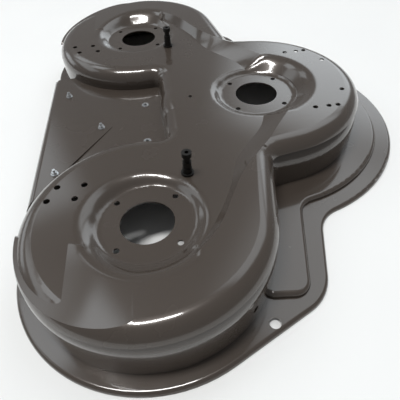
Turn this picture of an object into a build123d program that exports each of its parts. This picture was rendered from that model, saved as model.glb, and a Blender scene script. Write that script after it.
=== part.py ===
"""Three-blade lawn mower deck: a pressed sheet-steel shell with its posts, bolts and rivet nuts.

Millimetres. +Z is up, +Y points to the front dome and +X to the right-hand dome.
The origin lies under the middle of the deck, in the plane that the rim rests on. Plan places below
are measured from the point midway between the two rear spindles, origin_y behind it.
"""

import os
from math import acos, atan2, cos, degrees, hypot, radians, sin, tan

from build123d import *

os.makedirs("parts", exist_ok=True)

# Sheet, and the levels of its upper face above the bottom of the rim
sheet = 3.0
flange_level = 8.0
ledge_level = 18.0
floor_level = 58.5
seat_level = 88.0
low_level = 102.0
raised_level = 115.0
low_slope = 1.7

# Spindles
rear_spindle_x = 321.8
front_spindle_y = 246.2
spindle_bore_radius = 43.8
spindle_bolt_spacing = 97.0
spindle_bolt_radius = 5.0

# Domes, and the notches where the front dome meets the rear ones
rear_dome_radius = 206.0
front_dome_radius = 209.0
shoulder_radius = 32.0
notch_x = 216.2
notch_y = 227.9
notch_radius = 20.0

# Sunken spindle seats, each opening upwards as a cone
seat_radius = 79.5
seat_slope = 39.3

# Rear recess, and the rear wall below its floor
recess_front_y = 41.0
recess_corner_radius = 12.0
rear_wall_y = -216.0
rear_wall_left_x = -202.0
rear_wall_right_x = 240.0
rear_wall_rounding = 14.0

# Triangular pad pressed up in the recess floor, highest at the rear
pad_centre_x = 20.0
pad_half_width = 217.0
pad_apex_y = -68.0
pad_step = 0.8
pad_slope = 2.0

# Rim with its rolled-down lip
rim_radius = 233.0
front_rim_radius = 294.0
rim_nose = (448.0, 267.1)
rim_hollow = (254.2, 316.7)
rim_nose_radius = 85.0
rim_hollow_radius = 60.0
lip_radius = 7.0

# Ledge round the front dome and the two noses
ledge_radius = 261.0
ledge_nose = (446.0, 237.5)
ledge_hollow = (231.0, 284.0)
ledge_end = (440.0, 178.0)
ledge_nose_radius = 28.0
ledge_hollow_radius = 35.0
ledge_rounding = 8.0

# Raised zone: where its ramp leaves the low top face, and where it reaches full height
ramp_foot_level = 98.0
ramp_foot = [(88, 250), (152, 213), (206, 170), (261, 147), (345, 105), (392, 68)]
ramp_crest = [(92, 298), (165, 243), (202, 216), (262, 165), (371, 106), (403, 76)]
outer_ramp_foot = (330.0, -190.0)
outer_ramp_crest = (395.0, -20.0)
zone_margin = 60.0

# Bolt and bracket holes
bracket_holes = [(237.2, -145.5), (237.2, -100.5), (267.5, -159.0), (267.5, -114.0)]
bracket_hole_radius = 5.5
front_holes = [(110.5, 335.7), (110.5, 362.1), (110.5, 379.6), (60.6, 406.2)]
front_hole_radius = 5.0
centre_hole_y = 104.0
centre_hole_radius = 4.0
flange_hole = (479.0, 172.0)
flange_hole_radius = 9.0
wall_hole_angle = 44.0
wall_hole_level = 42.0
wall_hole_radius = 6.0

# Idler posts
post_x = 234.0
post_y = 73.8
post_height = 46.5
post_tail_radius = 5.0
post_base_radius = 11.2
post_head_radius = 8.5
post_base_height = 4.0
post_body_radius = 8.2
post_body_height = 14.0
post_groove_radius = 6.4
post_band_start = 17.0
post_band_radius = 7.6
post_band_end = 27.0
post_neck_radius = 5.8
post_head_start = 38.0
post_bore_radius = 3.4
post_bore_depth = 12.0
post_tail_length = 15.0
hole_clearance = 0.3
nut_radius = 8.0
nut_height = 9.0
nut_flange_radius = 11.0
nut_flange_height = 2.0

# Carriage bolts in the pad, and rivet nuts in the floor
pad_bolts = [(153.7, -172.7), (-111.4, -170.5), (20.0, -91.0)]
pad_bolt_radius = 3.0
pad_bolt_head_radius = 7.0
pad_bolt_head_height = 3.5
pad_nut_radius = 5.0
pad_nut_height = 6.0
pad_nut_flange_radius = 7.2
pad_nut_flange_height = 1.6
bolt_end = 5.0
rivet_nuts = [(82.2, 4.8), (-48.2, 4.8)]
rivet_nut_radius = 5.5
rivet_nut_bore_radius = 3.4
rivet_nut_head_radius = 8.0
rivet_nut_head_height = 1.2
rivet_nut_bulge_height = 3.0
rivet_nut_length = 14.0

# The origin's place ahead of the rear spindles: the middle of the rim's length
origin_y = (front_spindle_y + front_rim_radius - rim_radius) / 2

spindles = [(rear_spindle_x, 0), (-rear_spindle_x, 0), (0, front_spindle_y)]
low_plane = Plane(
    origin=(0, 0, low_level),
    z_dir=(0, sin(radians(low_slope)), cos(radians(low_slope))),
)
pad_plane = Plane(
    origin=(pad_centre_x, pad_apex_y, floor_level + pad_step),
    z_dir=(0, sin(radians(pad_slope)), cos(radians(pad_slope))),
)


def mirrored(points):
    """The right-hand points, followed by their mirror images in reverse order."""
    return list(points) + [(-x, y) for x, y in reversed(points)]


def on_circle(centre, radius, angle):
    return (
        centre[0] + radius * cos(radians(angle)),
        centre[1] + radius * sin(radians(angle)),
    )


def touch_point(centre, radius, point, side):
    """Where a line from a point touches a circle, on its left (1) or right (-1) side."""
    across, up = point[0] - centre[0], point[1] - centre[1]
    turn = degrees(acos(radius / hypot(across, up)))
    return on_circle(centre, radius, degrees(atan2(up, across)) + side * turn)


def near(vertices, point, reach=3.0):
    """The vertices within reach of a point or of its mirror image."""
    return [
        v
        for v in vertices
        if abs(abs(v.X) - point[0]) < reach and abs(v.Y - point[1]) < reach
    ]


def dome_outline(inset):
    """Plan of the domes' walls: three circles with their notches, open to the rear recess."""
    rear = (rear_spindle_x, 0)
    front = (0, front_spindle_y)
    corner_x = rear_spindle_x - (rear_dome_radius**2 - recess_front_y**2) ** 0.5
    with BuildSketch() as outline:
        with Locations((rear_spindle_x, 0), (-rear_spindle_x, 0)):
            Circle(rear_dome_radius)
        with Locations(front):
            Circle(front_dome_radius)
        with BuildLine():
            Polyline(
                *mirrored(
                    [
                        (corner_x, recess_front_y),
                        (rear_spindle_x, recess_front_y),
                        touch_point(rear, rear_dome_radius, (notch_x, notch_y), -1),
                        (notch_x, notch_y),
                        touch_point(front, front_dome_radius, (notch_x, notch_y), 1),
                    ]
                ),
                close=True,
            )
        make_face()
        fillet(near(outline.vertices(), (notch_x, notch_y)), notch_radius)
        fillet(near(outline.vertices(), (corner_x, recess_front_y)), recess_corner_radius)
        if inset:
            offset(amount=-inset, kind=Kind.ARC)
    return outline.sketch


def rim_outline(inset):
    """Plan of the rim: two rear circles, the front circle and a nose on each side."""
    rear = (rear_spindle_x, 0)
    with BuildSketch() as outline:
        with Locations((rear_spindle_x, 0), (-rear_spindle_x, 0)):
            Circle(rim_radius)
        with Locations((0, front_spindle_y)):
            Circle(front_rim_radius)
        with BuildLine():
            Polyline(
                *mirrored(
                    [
                        (rear_spindle_x, rear_wall_y),
                        rear,
                        touch_point(rear, rim_radius, rim_nose, -1),
                        rim_nose,
                        rim_hollow,
                    ]
                ),
                close=True,
            )
        make_face()
        fillet(near(outline.vertices(), rim_nose), rim_nose_radius)
        hollow = [v for v in outline.vertices() if 200 < abs(v.X) < 330 and 280 < v.Y < 330]
        fillet(hollow, rim_hollow_radius)
        if inset:
            offset(amount=-inset, kind=Kind.ARC)
    return outline.sketch


def ledge_outline(inset):
    """Plan of the ledge round the front dome, with a nose that ends at each rear dome."""
    with BuildSketch() as outline:
        with Locations((0, front_spindle_y)):
            Circle(ledge_radius)
        with BuildLine():
            Polyline(
                *mirrored(
                    [
                        (rear_spindle_x, 0),
                        ledge_end,
                        ledge_nose,
                        ledge_hollow,
                    ]
                ),
                close=True,
            )
        make_face()
        fillet(near(outline.vertices(), ledge_nose), ledge_nose_radius)
        hollow = [v for v in outline.vertices() if 200 < abs(v.X) < 300 and 260 < v.Y < 300]
        fillet(hollow, ledge_hollow_radius)
        if inset:
            offset(amount=-inset, kind=Kind.ARC)
    return outline.sketch


def ramp_line(level):
    """Points of the raised zone's edge at a level, between its foot and its crest."""
    share = (level - ramp_foot_level) / (raised_level - ramp_foot_level)

    def between(foot, crest):
        return (
            foot[0] + share * (crest[0] - foot[0]),
            foot[1] + share * (crest[1] - foot[1]),
        )

    return (
        [between(a, b) for a, b in zip(ramp_foot, ramp_crest)],
        between(outer_ramp_foot, outer_ramp_crest),
    )


def raised_zone(drop):
    """Solid that holds the raised top face: open country above its ramps."""
    far_x = rear_spindle_x + rear_dome_radius + zone_margin
    far_y = front_spindle_y + front_dome_radius + zone_margin
    with BuildPart() as zone:
        for level in (ramp_foot_level - sheet - 2, raised_level + sheet + 2):
            points, outer = ramp_line(level)
            with BuildSketch(Plane.XY.offset(level - drop)):
                with BuildLine():
                    Spline(*points)
                    Polyline(
                        points[-1],
                        outer,
                        (far_x, outer[1]),
                        (far_x, far_y),
                        (-far_x, far_y),
                        (-far_x, outer[1]),
                        (-outer[0], outer[1]),
                        (-points[-1][0], points[-1][1]),
                    )
                    Spline(*[(-x, y) for x, y in reversed(points)])
                    Line((-points[0][0], points[0][1]), points[0])
                make_face()
        loft(ruled=True)
    return zone.part


def rear_wall(inset):
    """Block below the recess floor, with the rounding that turns down into the rear wall."""
    with BuildPart() as block:
        with BuildSketch():
            with BuildLine():
                Polyline(
                    (rear_wall_left_x + inset, recess_front_y + sheet),
                    (rear_wall_left_x + inset, rear_wall_y + inset),
                    (rear_wall_right_x - inset, rear_wall_y + inset),
                    (rear_wall_right_x - inset, recess_front_y + sheet),
                    close=True,
                )
            make_face()
        extrude(amount=floor_level - inset)
        top = block.faces().sort_by(Axis.Z)[-1]
        fillet(top.edges().sort_by(Axis.Y)[0], rear_wall_rounding - inset)
    return block.part


def pad(inset):
    """Triangular pad in the recess floor, its top sloping up towards the rear."""
    with BuildPart() as wedge:
        with BuildSketch(Plane.XY.offset(flange_level)):
            with BuildLine():
                Polyline(
                    (pad_centre_x, pad_apex_y),
                    (pad_centre_x + pad_half_width, rear_wall_y),
                    (pad_centre_x - pad_half_width, rear_wall_y),
                    close=True,
                )
            make_face()
            if inset:
                offset(amount=-inset, kind=Kind.INTERSECTION)
        extrude(amount=low_level)
        split(bisect_by=pad_plane.offset(-inset), keep=Keep.BOTTOM)
        top = wedge.faces().sort_by(Axis.Z)[-1]
        fillet(top.edges().sort_by(Axis.Y)[0], rear_wall_rounding - inset)
    return wedge.part


def plate(outline, level, rounding):
    """A flat pressed step from the rim plane up to a level, with a rounded edge."""
    with BuildPart() as step:
        add(outline)
        extrude(amount=level)
        fillet(step.faces().sort_by(Axis.Z)[-1].edges(), rounding)
    return step.part


def seat_cut(drop):
    """Material above the three spindle seats."""
    slope = radians(seat_slope)
    floor_radius = seat_radius + drop * tan(slope / 2)
    height = raised_level - seat_level + shoulder_radius
    with BuildPart() as cut:
        with Locations(*[(x, y, seat_level - drop) for x, y in spindles]):
            Cone(
                floor_radius,
                floor_radius + height / tan(slope),
                height,
                align=(Align.CENTER, Align.CENTER, Align.MIN),
            )
    return cut.part


def domes(inset, plane):
    """The domes up to a plane, with their rounded shoulder."""
    with BuildPart() as body:
        add(dome_outline(inset))
        extrude(amount=raised_level + shoulder_radius)
        split(bisect_by=plane.offset(-inset), keep=Keep.BOTTOM)
        top = body.faces().filter_by(GeomType.PLANE).sort_by(Axis.Z)[-1]
        fillet(top.edges(), shoulder_radius - inset)
    return body.part


def pressed_form(inset):
    """Solid inside the sheet's upper face (inset 0) or lower face (inset of one sheet)."""
    low = domes(inset, low_plane)
    raised = domes(inset, Plane.XY.offset(raised_level))
    zone = raised_zone(inset)
    seats = seat_cut(inset)
    rear = rear_wall(inset)
    wedge = pad(inset)
    flange = plate(rim_outline(inset), flange_level - inset, lip_radius - inset)
    ledge = plate(ledge_outline(inset), ledge_level - inset, ledge_rounding - inset)
    with BuildPart() as form:
        add(raised)
        add(zone, mode=Mode.INTERSECT)
        add(low)
        add(rear)
        add(seats, mode=Mode.SUBTRACT)
        add(wedge)
        add(flange)
        add(ledge)
    return form.part


def on_plane(plane, point):
    """Plane parallel to a sloping face, with its origin on that face above a plan point."""
    lift = plane.z_dir.X * (point[0] - plane.origin.X) + plane.z_dir.Y * (point[1] - plane.origin.Y)
    level = plane.origin.Z - lift / plane.z_dir.Z
    return Plane(origin=(point[0], point[1], level), x_dir=(1, 0, 0), z_dir=plane.z_dir)


def turned(plane, steps):
    """Turned solid on a plane's axis, from (radius, height) steps that start on the axis."""
    with BuildPart() as piece:
        with BuildSketch(Plane(plane.origin, x_dir=plane.x_dir, z_dir=-plane.y_dir)):
            with BuildLine():
                Polyline(*steps, close=True)
            make_face()
        revolve(axis=Axis(plane.origin, plane.z_dir))
    return piece.part


def both_sides(points):
    return [(x, y) for x, y in points] + [(-x, y) for x, y in points]


def flange_nut(seat, radius, height, flange, flange_height, bore):
    """Hexagon nut with a round flange, standing on its seat."""
    with BuildPart() as nut:
        with BuildSketch(seat):
            Circle(flange)
        extrude(amount=flange_height)
        with BuildSketch(seat.offset(flange_height)):
            RegularPolygon(radius, 6, major_radius=False)
        extrude(amount=height - flange_height)
        with BuildSketch(seat):
            Circle(bore)
        extrude(amount=height, mode=Mode.SUBTRACT)
    return nut.part


outer_form = pressed_form(0)
inner_form = pressed_form(sheet)
posts = [on_plane(low_plane, point) for point in both_sides([(post_x, post_y)])]
bolts = [on_plane(pad_plane, point) for point in pad_bolts]
half_square = spindle_bolt_spacing / 2
through = raised_level * 2
wall_spot = on_circle((rear_spindle_x, 0), rear_dome_radius, wall_hole_angle)
wall_facing = on_circle((0, 0), 1, wall_hole_angle)

with BuildPart() as deck_shell:
    add(outer_form)
    add(inner_form, mode=Mode.SUBTRACT)
    with Locations(*[(x, y, 0) for x, y in spindles]):
        Cylinder(spindle_bore_radius, through, mode=Mode.SUBTRACT)
        with GridLocations(spindle_bolt_spacing, spindle_bolt_spacing, 2, 2):
            Cylinder(spindle_bolt_radius, through, mode=Mode.SUBTRACT)
    with Locations(*both_sides(bracket_holes)):
        Cylinder(bracket_hole_radius, through, mode=Mode.SUBTRACT)
    with Locations(*both_sides(front_holes)):
        Cylinder(front_hole_radius, through, mode=Mode.SUBTRACT)
    with Locations((0, centre_hole_y)):
        Cylinder(centre_hole_radius, through, mode=Mode.SUBTRACT)
    with Locations(flange_hole):
        Cylinder(flange_hole_radius, through, mode=Mode.SUBTRACT)
    with Locations(*rivet_nuts):
        Cylinder(rivet_nut_radius, through, mode=Mode.SUBTRACT)
    for seat in posts:
        with BuildSketch(seat):
            Circle(post_tail_radius + hole_clearance)
        extrude(amount=-2 * sheet, mode=Mode.SUBTRACT)
    for seat in bolts:
        with BuildSketch(seat):
            Circle(pad_bolt_radius + hole_clearance)
        extrude(amount=-2 * sheet, mode=Mode.SUBTRACT)
    with BuildSketch(
        Plane(
            origin=(wall_spot[0], wall_spot[1], wall_hole_level),
            z_dir=(wall_facing[0], wall_facing[1], 0),
        )
    ):
        Circle(wall_hole_radius)
    extrude(amount=2 * sheet, both=True, mode=Mode.SUBTRACT)

deck_shell.part.position -= (0, origin_y, 0)
deck_shell.part.label = "deck_shell"
export_step(deck_shell.part, "parts/deck_shell.step")

# Idler posts, with a threaded tail through the sheet and a flange nut under it
post_steps = [
    (0, -post_tail_length),
    (post_tail_radius, -post_tail_length),
    (post_tail_radius, 0),
    (post_base_radius, 0),
    (post_base_radius, post_base_height),
    (post_body_radius, post_base_height),
    (post_body_radius, post_body_height),
    (post_groove_radius, post_body_height),
    (post_groove_radius, post_band_start),
    (post_band_radius, post_band_start),
    (post_band_radius, post_band_end),
    (post_neck_radius, post_band_end),
    (post_neck_radius, post_head_start),
    (post_head_radius, post_head_start),
    (post_head_radius, post_height),
    (post_bore_radius, post_height),
    (post_bore_radius, post_height - post_bore_depth),
    (0, post_height - post_bore_depth),
]
for name, seat in zip(("idler_post_right", "idler_post_left"), posts):
    with BuildPart() as post:
        add(turned(seat, post_steps))
    post.part.position -= (0, origin_y, 0)
    post.part.label = name
    export_step(post.part, "parts/" + name + ".step")

with BuildPart() as post_nuts:
    for seat in posts:
        under = Plane(seat.offset(-sheet).origin, x_dir=seat.x_dir, z_dir=-seat.z_dir)
        add(flange_nut(under, nut_radius, nut_height, nut_flange_radius, nut_flange_height, post_tail_radius))
post_nuts.part.position -= (0, origin_y, 0)
post_nuts.part.label = "post_nuts"
export_step(post_nuts.part, "parts/post_nuts.step")

# Three bolts up through the pad, with their flange nuts on top
bolt_top = pad_nut_height + bolt_end
with BuildPart() as pad_bolts_set:
    for seat in bolts:
        add(
            turned(
                seat,
                [
                    (0, -sheet - pad_bolt_head_height),
                    (pad_bolt_head_radius * 0.6, -sheet - pad_bolt_head_height),
                    (pad_bolt_head_radius, -sheet - pad_bolt_head_height * 0.4),
                    (pad_bolt_head_radius, -sheet),
                    (pad_bolt_radius, -sheet),
                    (pad_bolt_radius, bolt_top),
                    (0, bolt_top),
                ],
            )
        )
pad_bolts_set.part.position -= (0, origin_y, 0)
pad_bolts_set.part.label = "carriage_bolts"
export_step(pad_bolts_set.part, "parts/carriage_bolts.step")

with BuildPart() as flange_nuts:
    for seat in bolts:
        add(
            flange_nut(
                seat,
                pad_nut_radius,
                pad_nut_height,
                pad_nut_flange_radius,
                pad_nut_flange_height,
                pad_bolt_radius,
            )
        )
flange_nuts.part.position -= (0, origin_y, 0)
flange_nuts.part.label = "flange_nuts"
export_step(flange_nuts.part, "parts/flange_nuts.step")

# Two rivet nuts pulled into the recess floor
with BuildPart() as rivet_nut_set:
    for x, y in rivet_nuts:
        add(
            turned(
                Plane((x, y, floor_level)),
                [
                    (rivet_nut_bore_radius, -rivet_nut_length),
                    (rivet_nut_radius, -rivet_nut_length),
                    (rivet_nut_radius, -sheet - rivet_nut_bulge_height),
                    (rivet_nut_head_radius, -sheet - rivet_nut_bulge_height / 2),
                    (rivet_nut_radius, -sheet),
                    (rivet_nut_radius, 0),
                    (rivet_nut_head_radius, 0),
                    (rivet_nut_head_radius, rivet_nut_head_height),
                    (rivet_nut_bore_radius, rivet_nut_head_height),
                ],
            )
        )
rivet_nut_set.part.position -= (0, origin_y, 0)
rivet_nut_set.part.label = "rivet_nuts"
export_step(rivet_nut_set.part, "parts/rivet_nuts.step")
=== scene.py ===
"""Looks of the lawn mower deck: rounded pressing, paint, plating, floor, light and camera."""

from math import atan2, cos, degrees, hypot, radians, sin, tan

import bmesh
import bpy
from mathutils import Matrix, Vector
from mathutils.bvhtree import BVHTree


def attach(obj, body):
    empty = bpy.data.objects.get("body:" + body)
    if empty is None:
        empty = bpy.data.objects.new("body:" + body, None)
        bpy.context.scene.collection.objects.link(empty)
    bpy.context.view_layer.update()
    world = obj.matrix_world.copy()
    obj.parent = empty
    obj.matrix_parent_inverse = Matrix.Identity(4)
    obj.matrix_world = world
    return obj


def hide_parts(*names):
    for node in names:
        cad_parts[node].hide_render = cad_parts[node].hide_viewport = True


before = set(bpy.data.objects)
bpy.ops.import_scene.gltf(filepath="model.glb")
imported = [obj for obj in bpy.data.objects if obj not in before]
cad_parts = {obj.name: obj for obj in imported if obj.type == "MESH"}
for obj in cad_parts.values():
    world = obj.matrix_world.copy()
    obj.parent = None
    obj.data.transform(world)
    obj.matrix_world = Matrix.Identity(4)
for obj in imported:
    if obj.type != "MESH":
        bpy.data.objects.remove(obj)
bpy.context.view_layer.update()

UP = Vector((0, 0, 1))

# The photograph's camera, in the deck's frame
CAMERA_PLACE = Vector((0.7302, -0.0988, 0.5672))
CAMERA_AZIMUTH = 176.45
CAMERA_DROP = 47.30
CAMERA_ROLL = 4.58
CAMERA_REACH = 50.0
FOCAL_PIXELS = 397.7
FRAME_PIXELS = 400
CENTRE_PIXEL = (196.6, 200.3)
SENSOR = 36.0

# Spindle seats: each opens upwards as a cone, whose two edges are rounded
SPINDLES = [(0.3218, -0.1536), (-0.3218, -0.1536), (0.0, 0.0926)]
SEAT_RADIUS = 0.0795
SEAT_LEVEL = 0.088
SEAT_RISE = tan(radians(39.3))
SEAT_FOOT_WIDTH = 0.006
SEAT_EDGE_WIDTH = 0.013
SEAT_EDGE_SHARE = 0.6

# Search for a cone's upper edge: first and last radius, step, least drop below the cone, and
# how many degrees to each side the found radii are averaged over
RIM_SEARCH = (0.084, 0.134, 0.001)
RIM_GAP = 0.0006
RIM_BLEND = 5
RAY_LEVEL = 1.0

# Posts, which keep the level face they stand on
POSTS = [(0.234, -0.0798), (-0.234, -0.0798)]
POST_CLEAR = 0.0115
POST_BLEND = 0.008

# Outer ends of the top face, which fall to the rear
FALL_START = -0.1736
FALL_SLOPE = 0.1
FALL_WIDTH = 0.07
FALL_SIDE = 0.385
FALL_END = 0.56
FALL_BLEND = 0.03
FALL_FOOT = 0.07

# Cuts that give the rounded bands enough points, and the reach in which a point is on an edge
TOP_FLOOR = 0.080
BAND = 0.134
CUT_STEP = 0.005
FALL_CUT_STEP = 0.01
CUT_TOLERANCE = 1e-6
EDGE_REACH = 0.0008
SLOPE_STEP = 0.0002

# Gloss paint: colours between flakes and on them, noises as scale and detail, and the coat
PAINT_COLOURS = ((0.050, 0.039, 0.031), (0.072, 0.058, 0.048))
PAINT_ROUGHNESS = (0.20, 0.32)
PAINT_METALLIC = 0.15
PAINT_SPECULAR = 0.2
COAT_WEIGHT = 1.0
COAT_ROUGHNESS = 0.08
FLAKE_NOISE = (2600.0, 1.0)
FILM_NOISE = (9.0, 5.0)
PEEL_NOISE = (210.0, 2.0)
PEEL_HEIGHT = 0.000012

# Metal finishes: noises as scale and detail, and the relief's height and strength
BLACK_STEEL = {
    "grain": (160.0, 4.0),
    "colours": ((0.010, 0.010, 0.010), (0.030, 0.027, 0.024)),
    "roughness": (0.30, 0.48),
    "metallic": 0.6,
    "relief": (900.0, 2.0),
    "height": 0.0001,
    "strength": 0.15,
}
ZINC = {
    "grain": (420.0, 3.0),
    "colours": ((0.55, 0.57, 0.58), (0.80, 0.81, 0.82)),
    "roughness": (0.20, 0.36),
    "metallic": 1.0,
    "relief": (1400.0, 2.0),
    "height": 0.00006,
    "strength": 0.2,
}

FLOOR_SIZE = 14.0
FLOOR_NOISE = (3.0, 2.0)
FLOOR_COLOURS = ((0.80, 0.80, 0.79), (0.84, 0.84, 0.82))
FLOOR_ROUGHNESS = 0.8

# The room's own light, and the lamp at the ceiling as azimuth and elevation in degrees
ROOM_COLOUR = (0.97, 0.98, 1.0, 1.0)
ROOM_LEVEL = 0.27
CEILING = (282, 79)
CEILING_AIM = Vector((0.0, 0.0, 0.1))
CEILING_DISTANCE = 6.0
CEILING_SIZE = (0.8, 2.6)
CEILING_POWER = 250.0

# Windows of the room: azimuth, elevation, width and height in degrees, and radiance
WINDOW_COLOUR = (0.88, 0.95, 1.0, 1.0)
WINDOW_FADE = 0.3
WINDOWS = [
    (149, 26, 30, 20, 2.3),
    (137, 53, 30, 28, 1.7),
    (229, 57, 18, 11, 2.6),
    (207, 39, 16, 12, 1.6),
    (250, 43, 40, 16, 1.5),
    (236, 17, 26, 14, 1.5),
]


def facing(azimuth, elevation):
    """Unit direction at an azimuth from +X and an elevation, in degrees."""
    a, e = radians(azimuth), radians(elevation)
    return Vector((cos(a) * cos(e), sin(a) * cos(e), sin(e)))


def turned_to(direction, roll=0.0):
    """Rotation that looks along a direction, as a camera or a lamp does."""
    side = direction.cross(UP).normalized()
    top = side.cross(direction)
    r = radians(roll)
    right = side * cos(r) - top * sin(r)
    up = side * sin(r) + top * cos(r)
    return Matrix((right, up, -direction)).transposed().to_4x4()


def photograph_camera():
    """Camera with the place, turn and focal length fitted to the photograph."""
    data = bpy.data.cameras.new("photograph")
    data.sensor_width = SENSOR
    data.lens = FOCAL_PIXELS / FRAME_PIXELS * SENSOR
    data.shift_x = 0.5 - CENTRE_PIXEL[0] / FRAME_PIXELS
    data.shift_y = CENTRE_PIXEL[1] / FRAME_PIXELS - 0.5
    data.clip_end = CAMERA_REACH
    camera = bpy.data.objects.new("photograph", data)
    bpy.context.scene.collection.objects.link(camera)
    turn = turned_to(facing(CAMERA_AZIMUTH, -CAMERA_DROP), CAMERA_ROLL)
    camera.matrix_world = Matrix.Translation(CAMERA_PLACE) @ turn
    bpy.context.scene.camera = camera


def new_material(name):
    material = bpy.data.materials.new(name)
    material.use_nodes = True
    tree = material.node_tree
    return material, tree, tree.nodes["Principled BSDF"]


def noise(tree, scale, detail):
    """Noise factor fixed to the object."""
    place = tree.nodes.new("ShaderNodeTexCoord")
    node = tree.nodes.new("ShaderNodeTexNoise")
    node.inputs["Scale"].default_value = scale
    node.inputs["Detail"].default_value = detail
    tree.links.new(place.outputs["Object"], node.inputs["Vector"])
    return node.outputs["Fac"]


def blend_of(tree, factor, low, high):
    """Colour that runs from low to high with a factor."""
    ramp = tree.nodes.new("ShaderNodeValToRGB")
    ramp.color_ramp.elements[0].color = low + (1.0,)
    ramp.color_ramp.elements[1].color = high + (1.0,)
    tree.links.new(factor, ramp.inputs["Fac"])
    return ramp.outputs["Color"]


def number_of(tree, factor, low, high):
    """Number that runs from low to high with a factor."""
    node = tree.nodes.new("ShaderNodeMapRange")
    node.inputs["To Min"].default_value = low
    node.inputs["To Max"].default_value = high
    tree.links.new(factor, node.inputs["Value"])
    return node.outputs["Result"]


def math_node(tree, operation, first, second=0.0):
    """Result of an operation on two values, each a number or a socket."""
    node = tree.nodes.new("ShaderNodeMath")
    node.operation = operation
    for socket, value in zip(node.inputs, (first, second)):
        if isinstance(value, float):
            socket.default_value = value
        else:
            tree.links.new(value, socket)
    return node.outputs["Value"]


def bump(tree, shader, height, distance, strength):
    """Gives a shader a relief and returns its normal."""
    node = tree.nodes.new("ShaderNodeBump")
    node.inputs["Strength"].default_value = strength
    node.inputs["Distance"].default_value = distance
    tree.links.new(height, node.inputs["Height"])
    tree.links.new(node.outputs["Normal"], shader.inputs["Normal"])
    return node.outputs["Normal"]


def deck_paint():
    """Dark bronze-grey gloss paint with fine flake, faint orange peel and a film of dust."""
    material, tree, shader = new_material("deck_paint")
    flake = noise(tree, *FLAKE_NOISE)
    film = noise(tree, *FILM_NOISE)
    tree.links.new(blend_of(tree, flake, *PAINT_COLOURS), shader.inputs["Base Color"])
    tree.links.new(number_of(tree, film, *PAINT_ROUGHNESS), shader.inputs["Roughness"])
    shader.inputs["Metallic"].default_value = PAINT_METALLIC
    shader.inputs["Specular IOR Level"].default_value = PAINT_SPECULAR
    shader.inputs["Coat Weight"].default_value = COAT_WEIGHT
    shader.inputs["Coat Roughness"].default_value = COAT_ROUGHNESS
    peel = math_node(tree, "MULTIPLY", noise(tree, *PEEL_NOISE), PEEL_HEIGHT)
    tree.links.new(bump(tree, shader, peel, 1.0, 1.0), shader.inputs["Coat Normal"])
    return material


def metal(name, grain, colours, roughness, metallic, relief, height, strength):
    """Metal finish whose colour and roughness follow one grain, with a finer relief."""
    material, tree, shader = new_material(name)
    factor = noise(tree, *grain)
    tree.links.new(blend_of(tree, factor, *colours), shader.inputs["Base Color"])
    tree.links.new(number_of(tree, factor, *roughness), shader.inputs["Roughness"])
    shader.inputs["Metallic"].default_value = metallic
    bump(tree, shader, noise(tree, *relief), height, strength)
    return material


def clamped(value):
    return min(max(value, 0.0), 1.0)


def rim_radii(skin, centre):
    """Radius of the cone's upper edge round a spindle, one value for each degree."""
    start, end, step = RIM_SEARCH
    radii = []
    for degree in range(360):
        out = Vector((cos(radians(degree)), sin(radians(degree)), 0.0))
        found = end
        for index in range(int((end - start) / step)):
            reach = start + index * step
            point = Vector((centre[0], centre[1], RAY_LEVEL)) + out * reach
            hit = skin.ray_cast(point, -UP)[0]
            cone = SEAT_LEVEL + (reach - SEAT_RADIUS) * SEAT_RISE
            if hit is not None and cone - hit.z > RIM_GAP:
                found = reach - (cone - hit.z) / SEAT_RISE
                break
        radii.append(found)
    spread = range(-RIM_BLEND, RIM_BLEND + 1)
    return [sum(radii[(i + j) % 360] for j in spread) / len(spread) for i in range(360)]


def seat_at(x, y, rims):
    """Distance to the nearest spindle and the radius of its cone's upper edge there, or None."""
    for (cx, cy), radii in zip(SPINDLES, rims):
        reach = hypot(x - cx, y - cy)
        if reach < BAND:
            turn = degrees(atan2(y - cy, x - cx)) % 360
            first = int(turn) % 360
            part = turn - int(turn)
            return reach, radii[first] * (1 - part) + radii[(first + 1) % 360] * part
    return None


def shift_at(x, y, z, rims):
    """How far the rounded face lies above the sharp-edged one, at a plan place.

    Each edge becomes a parabola, which leaves the edge by a quarter of its change of slope
    times its half width.
    """
    shift = 0.0
    seat = seat_at(x, y, rims)
    if seat:
        reach, rim = seat
        half = min(SEAT_EDGE_WIDTH, SEAT_EDGE_SHARE * (rim - SEAT_RADIUS))
        shift -= SEAT_RISE * half / 4 * clamped(1 - abs(reach - rim) / half) ** 2
        foot = clamped(1 - abs(reach - SEAT_RADIUS) / SEAT_FOOT_WIDTH)
        shift += SEAT_RISE * SEAT_FOOT_WIDTH / 4 * foot**2
        for px, py in POSTS:
            shift *= clamped((hypot(x - px, y - py) - POST_CLEAR) / POST_BLEND)
    near = clamped(1 - abs(FALL_START - y) / FALL_WIDTH)
    side = clamped((abs(x) - FALL_SIDE) / FALL_BLEND)
    top = clamped((z - FALL_FOOT) / FALL_BLEND)
    return shift - FALL_SLOPE * FALL_WIDTH / 4 * near**2 * side * top


def slope_at(x, y, z, rims):
    """Slopes of the shift along X and Y, at a plan place."""
    across = shift_at(x + SLOPE_STEP, y, z, rims) - shift_at(x - SLOPE_STEP, y, z, rims)
    along = shift_at(x, y + SLOPE_STEP, z, rims) - shift_at(x, y - SLOPE_STEP, z, rims)
    return across / (2 * SLOPE_STEP), along / (2 * SLOPE_STEP)


def on_edge(x, y, rims):
    """True where the sharp-edged face has one of the edges that are rounded."""
    seat = seat_at(x, y, rims)
    if seat and min(abs(seat[0] - seat[1]), abs(seat[0] - SEAT_RADIUS)) < EDGE_REACH:
        return True
    return abs(FALL_START - y) < EDGE_REACH and abs(x) > FALL_SIDE


def reaches(face, low, high):
    """True for a top face that reaches into a plan box."""
    places = [vert.co for vert in face.verts]
    return min(place.z for place in places) > TOP_FLOOR and all(
        max(place[axis] for place in places) > low[axis]
        and min(place[axis] for place in places) < high[axis]
        for axis in (0, 1)
    )


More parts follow.
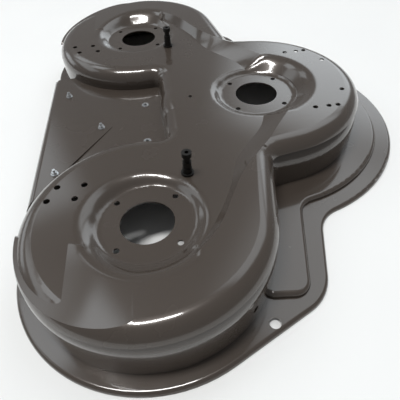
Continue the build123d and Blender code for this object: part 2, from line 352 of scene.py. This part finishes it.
def cut_band(body, low, high, axis, step):
    """Cuts the top faces in a plan box by planes across an axis."""
    faces = [face for face in body.faces if reaches(face, low, high)]
    edges = dict.fromkeys(edge for face in faces for edge in face.edges)
    verts = dict.fromkeys(vert for face in faces for vert in face.verts)
    geometry = [*verts, *edges, *faces]
    across = Vector((1, 0, 0)) if axis == 0 else Vector((0, 1, 0))
    for index in range(1, int((high[axis] - low[axis]) / step)):
        place = across * (low[axis] + index * step)
        cut = bmesh.ops.bisect_plane(
            body, geom=geometry, plane_co=place, plane_no=across, dist=CUT_TOLERANCE
        )
        geometry = cut["geom"]


def cut_finer(mesh):
    """Gives the bands that are rounded enough points."""
    body = bmesh.new()
    body.from_mesh(mesh)
    for cx, cy in SPINDLES:
        low, high = (cx - BAND, cy - BAND), (cx + BAND, cy + BAND)
        cut_band(body, low, high, 0, CUT_STEP)
        cut_band(body, low, high, 1, CUT_STEP)
    for side in (-1, 1):
        ends = sorted((side * FALL_SIDE, side * FALL_END))
        low = (ends[0], FALL_START - FALL_WIDTH)
        high = (ends[1], FALL_START + FALL_WIDTH)
        cut_band(body, low, high, 1, FALL_CUT_STEP)
    bmesh.ops.triangulate(body, faces=[f for f in body.faces if len(f.verts) > 3])
    body.to_mesh(mesh)
    body.free()


def round_bands(mesh, rims):
    """Moves the points to the rounded faces and returns the corner normals that suit them."""
    slopes = {}
    edges = {}
    for vert in mesh.vertices:
        x, y, z = vert.co
        if z > FALL_FOOT and (abs(x) > FALL_SIDE or seat_at(x, y, rims)):
            slopes[vert.index] = slope_at(x, y, z, rims)
            if on_edge(x, y, rims):
                edges[vert.index] = (x, y, z)
            vert.co.z = z + shift_at(x, y, z, rims)
    normals = [Vector(corner.vector) for corner in mesh.attributes["kept_normal"].data]
    for face in mesh.polygons:
        for loop in face.loop_indices:
            index = mesh.loops[loop].vertex_index
            if index not in slopes:
                continue
            across, along = slopes[index]
            if index in edges:
                x, y, z = edges[index]
                inward = Vector((face.center.x - x, face.center.y - y)).normalized()
                inward *= 2 * EDGE_REACH
                across, along = slope_at(x + inward.x, y + inward.y, z, rims)
            normals[loop] -= normals[loop].z * Vector((across, along, 0.0))
    return [normal.normalized() for normal in normals]


def pressed_shell():
    """The shell as the press leaves it: its own faces, with the seats and falls rounded."""
    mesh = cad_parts["deck_shell"].data.copy()
    mesh.name = "pressed_shell"
    skin = BVHTree.FromPolygons([v.co for v in mesh.vertices], [p.vertices for p in mesh.polygons])
    rims = [rim_radii(skin, centre) for centre in SPINDLES]
    kept = mesh.attributes.new("kept_normal", "FLOAT_VECTOR", "CORNER")
    kept.data.foreach_set("vector", [c for n in mesh.corner_normals for c in n.vector])
    cut_finer(mesh)
    normals = round_bands(mesh, rims)
    mesh.attributes.remove(mesh.attributes["kept_normal"])
    mesh.normals_split_custom_set(normals)
    shell = bpy.data.objects.new("pressed_shell", mesh)
    bpy.context.scene.collection.objects.link(shell)
    mesh.materials.clear()
    mesh.materials.append(deck_paint())
    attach(shell, "root")
    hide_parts("deck_shell")


def give(names, material):
    """Gives nodes that show their CAD mesh a material."""
    for name in names:
        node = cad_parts[name]
        node.data.materials.clear()
        node.data.materials.append(material)


def floor():
    """Pale ground under the deck."""
    mesh = bpy.data.meshes.new("floor")
    half = FLOOR_SIZE / 2
    corners = [(-half, -half, 0), (half, -half, 0), (half, half, 0), (-half, half, 0)]
    mesh.from_pydata(corners, [], [(0, 1, 2, 3)])
    plane = bpy.data.objects.new("floor", mesh)
    bpy.context.scene.collection.objects.link(plane)
    material, tree, shader = new_material("floor")
    pale = blend_of(tree, noise(tree, *FLOOR_NOISE), *FLOOR_COLOURS)
    tree.links.new(pale, shader.inputs["Base Color"])
    shader.inputs["Roughness"].default_value = FLOOR_ROUGHNESS
    mesh.materials.append(material)


def ceiling():
    """Long lamp at the ceiling, turned to the deck."""
    data = bpy.data.lights.new("ceiling", "AREA")
    data.shape = "RECTANGLE"
    data.size, data.size_y = CEILING_SIZE
    data.energy = CEILING_POWER
    lamp = bpy.data.objects.new("ceiling", data)
    bpy.context.scene.collection.objects.link(lamp)
    place = CEILING_AIM + CEILING_DISTANCE * facing(*CEILING)
    turn = turned_to((CEILING_AIM - place).normalized())
    lamp.matrix_world = Matrix.Translation(place) @ turn


def cosine(tree, place, direction):
    """Cosine of the angle between the looked-at direction and a fixed one."""
    node = tree.nodes.new("ShaderNodeVectorMath")
    node.operation = "DOT_PRODUCT"
    node.inputs[1].default_value = direction
    tree.links.new(place, node.inputs[0])
    return node.outputs["Value"]


def window(tree, azimuth, elevation, wide, high, radiance):
    """Radiance of a soft-edged window of the room, wide by high degrees, by direction."""
    place = tree.nodes.new("ShaderNodeTexCoord").outputs["Generated"]
    ahead = facing(azimuth, elevation)
    side = ahead.cross(UP).normalized()
    lit = math_node(tree, "GREATER_THAN", cosine(tree, place, ahead), 0.0)
    for axis, angle in ((side, wide), (side.cross(ahead), high)):
        reach = sin(radians(angle / 2))
        edge = tree.nodes.new("ShaderNodeMapRange")
        edge.interpolation_type = "SMOOTHSTEP"
        edge.inputs["From Min"].default_value = reach * (1 + WINDOW_FADE)
        edge.inputs["From Max"].default_value = reach * (1 - WINDOW_FADE)
        off = math_node(tree, "ABSOLUTE", cosine(tree, place, axis))
        tree.links.new(off, edge.inputs["Value"])
        lit = math_node(tree, "MULTIPLY", lit, edge.outputs["Result"])
    return math_node(tree, "MULTIPLY", lit, radiance)


def studio():
    """World of even light with the windows added, and the ceiling lamp."""
    world = bpy.data.worlds.new("studio")
    world.use_nodes = True
    tree = world.node_tree
    room = tree.nodes["Background"]
    room.inputs["Color"].default_value = ROOM_COLOUR
    room.inputs["Strength"].default_value = ROOM_LEVEL
    panes = tree.nodes.new("ShaderNodeBackground")
    panes.inputs["Color"].default_value = WINDOW_COLOUR
    total = window(tree, *WINDOWS[0])
    for values in WINDOWS[1:]:
        total = math_node(tree, "ADD", total, window(tree, *values))
    tree.links.new(total, panes.inputs["Strength"])
    both = tree.nodes.new("ShaderNodeAddShader")
    tree.links.new(room.outputs["Background"], both.inputs[0])
    tree.links.new(panes.outputs["Background"], both.inputs[1])
    tree.links.new(both.outputs["Shader"], tree.nodes["World Output"].inputs["Surface"])
    bpy.context.scene.world = world
    ceiling()


photograph_camera()
pressed_shell()
give(["idler_post_right", "idler_post_left"], metal("black_steel", **BLACK_STEEL))
give(["post_nuts", "carriage_bolts", "flange_nuts", "rivet_nuts"], metal("zinc", **ZINC))
floor()
studio()
bpy.context.scene.view_settings.view_transform = "Standard"
